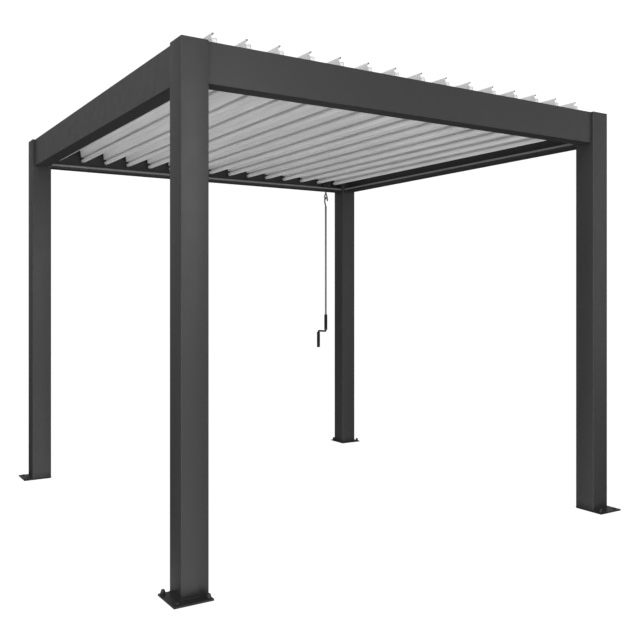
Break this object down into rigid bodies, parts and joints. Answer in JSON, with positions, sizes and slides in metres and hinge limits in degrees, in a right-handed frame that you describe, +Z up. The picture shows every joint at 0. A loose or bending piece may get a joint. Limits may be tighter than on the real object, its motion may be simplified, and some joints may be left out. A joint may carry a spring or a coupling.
{
  "type": "louvred metal pergola",
  "caption": "Free-standing square metal pergola: four posts, a gutter-beam ring and a tilting louvre roof worked by a hanging crank.",
  "frame": {"origin": "centre of the footprint on the ground: bottom centre of the four foot plates", "axes": "+X to the right along the front beam, +Y from the front beam to the back beam, +Z up"},
  "size_m": [3, 3, 2.5634],
  "materials": {
    "frame": "fine-textured anthracite powder coat",
    "blade": "light grey satin powder coat",
    "foot": "black powder coat on steel plate",
    "black_part": "satin black",
    "steel": "zinc-plated steel, satin",
    "grip": "moulded black plastic"
  },
  "bodies": {
    "frame": {"post_front_left": "frame", "post_front_right": "frame", "post_back_left": "frame", "post_back_right": "frame", "post_cap_front_left": "frame", "post_cap_front_right": "frame", "post_cap_back_left": "frame", "post_cap_back_right": "frame", "foot_plate_front_left": "foot", "foot_plate_front_right": "foot", "foot_plate_back_left": "foot", "foot_plate_back_right": "foot", "beam_front": "frame", "beam_back": "frame", "beam_left": "frame", "beam_right": "frame", "gutter_lip_front": "frame", "gutter_lip_back": "frame", "gutter_lip_left": "frame", "gutter_lip_right": "frame", "gutter_floors": "frame", "pivot_rail_front": "frame", "pivot_rail_back": "frame", "gearbox": "black_part"},
    "blade_01": {"blade_01": "blade"},
    "blade_02": {"blade_02": "blade"},
    "blade_03": {"blade_03": "blade"},
    "blade_04": {"blade_04": "blade"},
    "blade_05": {"blade_05": "blade"},
    "blade_06": {"blade_06": "blade"},
    "blade_07": {"blade_07": "blade"},
    "blade_08": {"blade_08": "blade"},
    "blade_09": {"blade_09": "blade"},
    "blade_10": {"blade_10": "blade"},
    "blade_11": {"blade_11": "blade"},
    "blade_12": {"blade_12": "blade"},
    "blade_13": {"blade_13": "blade"},
    "blade_14": {"blade_14": "blade"},
    "blade_15": {"blade_15": "blade"},
    "link_bar": {"link_bar": "black_part"},
    "drive_arm": {"drive_arm": "steel"},
    "crank": {"crank_eye": "steel", "crank_rod": "steel", "crank_grips": "grip"}
  },
  "joints": [
    {"name": "blade_01_tilt", "type": "hinge", "parent": "frame", "child": "blade_01", "pos_m": [-1.246, 0, 2.466], "axis": [0, -1, 0], "range_deg": [-88, 10]},
    {"name": "blade_02_tilt", "type": "hinge", "parent": "frame", "child": "blade_02", "pos_m": [-1.068, 0, 2.466], "axis": [0, -1, 0], "range_deg": [-88, 10]},
    {"name": "blade_03_tilt", "type": "hinge", "parent": "frame", "child": "blade_03", "pos_m": [-0.89, 0, 2.466], "axis": [0, -1, 0], "range_deg": [-88, 10]},
    {"name": "blade_04_tilt", "type": "hinge", "parent": "frame", "child": "blade_04", "pos_m": [-0.712, 0, 2.466], "axis": [0, -1, 0], "range_deg": [-88, 10]},
    {"name": "blade_05_tilt", "type": "hinge", "parent": "frame", "child": "blade_05", "pos_m": [-0.534, 0, 2.466], "axis": [0, -1, 0], "range_deg": [-88, 10]},
    {"name": "blade_06_tilt", "type": "hinge", "parent": "frame", "child": "blade_06", "pos_m": [-0.356, 0, 2.466], "axis": [0, -1, 0], "range_deg": [-88, 10]},
    {"name": "blade_07_tilt", "type": "hinge", "parent": "frame", "child": "blade_07", "pos_m": [-0.178, 0, 2.466], "axis": [0, -1, 0], "range_deg": [-88, 10]},
    {"name": "louvre_tilt", "type": "hinge", "parent": "frame", "child": "blade_08", "pos_m": [0, 0, 2.466], "axis": [0, -1, 0], "range_deg": [-88, 10]},
    {"name": "blade_09_tilt", "type": "hinge", "parent": "frame", "child": "blade_09", "pos_m": [0.178, 0, 2.466], "axis": [0, -1, 0], "range_deg": [-88, 10]},
    {"name": "blade_10_tilt", "type": "hinge", "parent": "frame", "child": "blade_10", "pos_m": [0.356, 0, 2.466], "axis": [0, -1, 0], "range_deg": [-88, 10]},
    {"name": "blade_11_tilt", "type": "hinge", "parent": "frame", "child": "blade_11", "pos_m": [0.534, 0, 2.466], "axis": [0, -1, 0], "range_deg": [-88, 10]},
    {"name": "blade_12_tilt", "type": "hinge", "parent": "frame", "child": "blade_12", "pos_m": [0.712, 0, 2.466], "axis": [0, -1, 0], "range_deg": [-88, 10]},
    {"name": "blade_13_tilt", "type": "hinge", "parent": "frame", "child": "blade_13", "pos_m": [0.89, 0, 2.466], "axis": [0, -1, 0], "range_deg": [-88, 10]},
    {"name": "blade_14_tilt", "type": "hinge", "parent": "frame", "child": "blade_14", "pos_m": [1.068, 0, 2.466], "axis": [0, -1, 0], "range_deg": [-88, 10]},
    {"name": "blade_15_tilt", "type": "hinge", "parent": "frame", "child": "blade_15", "pos_m": [1.246, 0, 2.466], "axis": [0, -1, 0], "range_deg": [-88, 10]},
    {"name": "link_bar_pin", "type": "hinge", "parent": "blade_08", "child": "link_bar", "pos_m": [0.02365, 1.3875, 2.4402], "axis": [0, -1, 0], "range_deg": [-10, 88]},
    {"name": "drive_arm_turn", "type": "hinge", "parent": "frame", "child": "drive_arm", "pos_m": [1.157, 1.372, 2.357], "axis": [0, -1, 0], "range_deg": [-88, 10]},
    {"name": "crank_turn", "type": "hinge", "parent": "frame", "child": "crank", "pos_m": [1.157, 1.358, 1.2], "axis": [0, 0, 1], "range_deg": [-2640, 300]}
  ],
  "couplings": [
    {"joint": "blade_01_tilt", "follows": "louvre_tilt", "ratio": 1},
    {"joint": "blade_02_tilt", "follows": "louvre_tilt", "ratio": 1},
    {"joint": "blade_03_tilt", "follows": "louvre_tilt", "ratio": 1},
    {"joint": "blade_04_tilt", "follows": "louvre_tilt", "ratio": 1},
    {"joint": "blade_05_tilt", "follows": "louvre_tilt", "ratio": 1},
    {"joint": "blade_06_tilt", "follows": "louvre_tilt", "ratio": 1},
    {"joint": "blade_07_tilt", "follows": "louvre_tilt", "ratio": 1},
    {"joint": "blade_09_tilt", "follows": "louvre_tilt", "ratio": 1},
    {"joint": "blade_10_tilt", "follows": "louvre_tilt", "ratio": 1},
    {"joint": "blade_11_tilt", "follows": "louvre_tilt", "ratio": 1},
    {"joint": "blade_12_tilt", "follows": "louvre_tilt", "ratio": 1},
    {"joint": "blade_13_tilt", "follows": "louvre_tilt", "ratio": 1},
    {"joint": "blade_14_tilt", "follows": "louvre_tilt", "ratio": 1},
    {"joint": "blade_15_tilt", "follows": "louvre_tilt", "ratio": 1},
    {"joint": "link_bar_pin", "follows": "louvre_tilt", "ratio": -1},
    {"joint": "drive_arm_turn", "follows": "louvre_tilt", "ratio": 1},
    {"joint": "crank_turn", "follows": "louvre_tilt", "ratio": 30}
  ]
}
